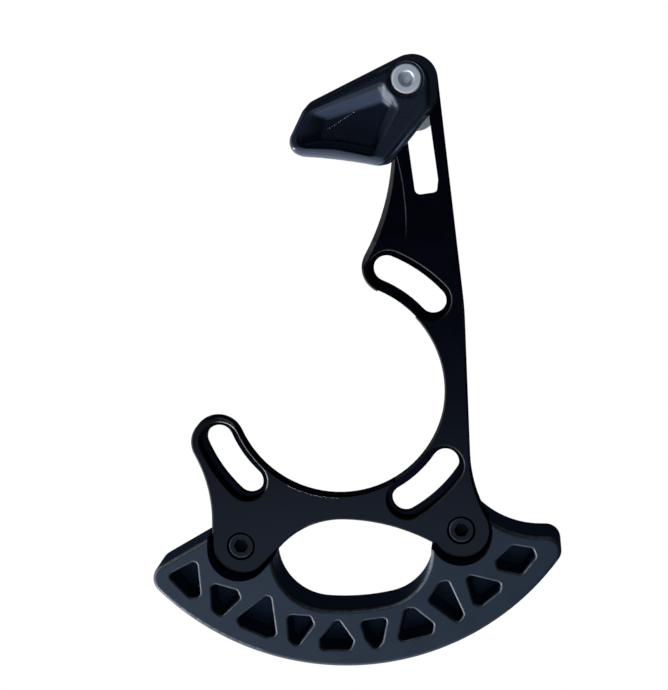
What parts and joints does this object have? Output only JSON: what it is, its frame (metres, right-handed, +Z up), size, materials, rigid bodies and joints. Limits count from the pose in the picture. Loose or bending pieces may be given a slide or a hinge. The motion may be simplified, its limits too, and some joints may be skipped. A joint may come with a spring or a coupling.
{
  "type": "bicycle chain guide",
  "caption": "Crank-side bicycle chain guide: slotted backplate with a curved bash guard below and a height-adjustable upper chain keeper.",
  "frame": {"origin": "crank axis, in the plane of the three mounting pads", "axes": "+X forwards with the chain's upper run going left, +Z up, +Y inboard towards the frame"},
  "size_m": [0.0878, 0.027, 0.1311],
  "materials": {
    "black_anodised": "black anodised, satin",
    "slate_nylon": "fine moulded grain",
    "navy_nylon": "smooth moulded satin",
    "bright_steel": "turned, zinc plated",
    "black_steel": "black oxide",
    "insert_brass": "turned"
  },
  "bodies": {
    "bracket": {"backplate": "black_anodised", "bash_guard": "slate_nylon", "guard_screw_left": "black_steel", "guard_screw_right": "black_steel", "guard_insert_left": "insert_brass", "guard_insert_right": "insert_brass"},
    "keeper": {"upper_guide": "navy_nylon", "guide_screw": "bright_steel", "slot_nut": "bright_steel"}
  },
  "joints": [
    {"name": "keeper_slide", "type": "slide", "parent": "bracket", "child": "keeper", "axis": [-0.1461, 0, 0.9893], "range_m": [-0.014, 0]}
  ]
}
